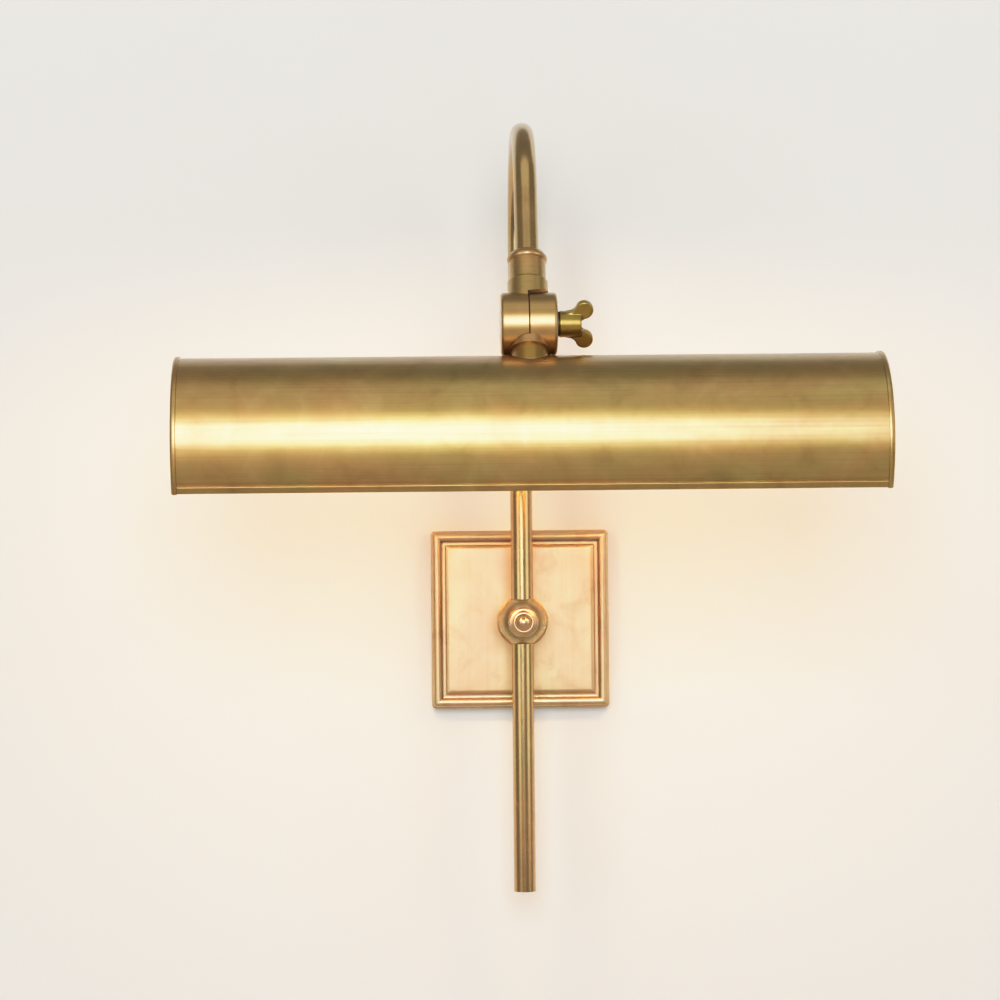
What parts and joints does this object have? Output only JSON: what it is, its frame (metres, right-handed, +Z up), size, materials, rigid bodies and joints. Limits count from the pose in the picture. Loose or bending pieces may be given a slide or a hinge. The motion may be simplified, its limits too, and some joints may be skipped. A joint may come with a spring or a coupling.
{
  "type": "picture light",
  "caption": "Wall picture light: half-round shade on a gooseneck rod that slides and swivels in a clamp ball on a square backplate, with a tilting friction knuckle.",
  "frame": {"origin": "centre of the backplate on the wall face, midway between the two wall slots", "axes": "+X right as seen from the room, +Y into the wall, +Z up along the rod"},
  "size_m": [0.356, 0.2316, 0.412],
  "materials": {
    "aged_brass": "satin, brushed and aged",
    "plated_steel": "zinc plated",
    "phenolic": "moulded, semi-matt",
    "nylon": "moulded",
    "fibre": "pressed fibre",
    "contact_metal": "bright, nickel tinted",
    "lead_sleeving": "silicone sleeving",
    "opal_glass": "opal"
  },
  "bodies": {
    "base": {"backplate": "aged_brass", "wall_bracket": "plated_steel", "boss_stem": "aged_brass", "plate_nut": "aged_brass", "ball": "aged_brass", "pressure_pad": "nylon", "terminal_block": "nylon", "terminal_screws": "plated_steel", "earth_screw": "plated_steel", "supply_leads": "lead_sleeving"},
    "clamp": {"clamp_knob": "aged_brass", "clamp_stud": "plated_steel"},
    "sleeve": {"guide_sleeve": "aged_brass"},
    "rod": {"gooseneck": "aged_brass", "tube_leads": "lead_sleeving", "rod_end_plug": "phenolic", "upper_knuckle": "aged_brass", "collar_grub_screw": "plated_steel", "friction_ring": "fibre", "pivot_bolt": "plated_steel", "spring_ring": "plated_steel"},
    "wing": {"wing_nut": "aged_brass"},
    "shade": {"lower_knuckle": "aged_brass", "shade_foot": "aged_brass", "shade_shell": "aged_brass", "end_cap_left": "aged_brass", "end_cap_right": "aged_brass", "saddle_washer": "plated_steel", "lamp_bracket": "plated_steel", "tail_nut": "plated_steel", "holder_screws": "plated_steel", "lamp_leads": "lead_sleeving", "bulb_cap_left": "contact_metal", "bulb_cap_right": "contact_metal", "bulb_glass_left": "opal_glass", "bulb_glass_right": "opal_glass", "centre_contact_left": "contact_metal", "centre_contact_right": "contact_metal", "lampholder_left": "phenolic", "lampholder_right": "phenolic", "socket_shell_left": "contact_metal", "socket_shell_right": "contact_metal"}
  },
  "joints": [
    {"name": "clamp_knob_turn", "type": "hinge", "parent": "base", "child": "clamp", "pos_m": [0, -0.062, 0], "axis": [0, -1, 0], "range_deg": [0, 270]},
    {"name": "rod_swivel", "type": "hinge", "parent": "base", "child": "sleeve", "pos_m": [0, -0.044, 0], "axis": [0, 0, 1], "range_deg": [-20, 20]},
    {"name": "rod_slide", "type": "slide", "parent": "sleeve", "child": "rod", "axis": [0, 0, 1], "range_m": [-0.15, 0.1]},
    {"name": "shade_tilt", "type": "hinge", "parent": "rod", "child": "shade", "pos_m": [0, -0.18005, 0.15435], "axis": [1, 0, 0], "range_deg": [-45, 60]},
    {"name": "wing_nut_turn", "type": "hinge", "parent": "rod", "child": "wing", "pos_m": [0.02, -0.18005, 0.15435], "axis": [1, 0, 0], "range_deg": [0, 270]}
  ]
}
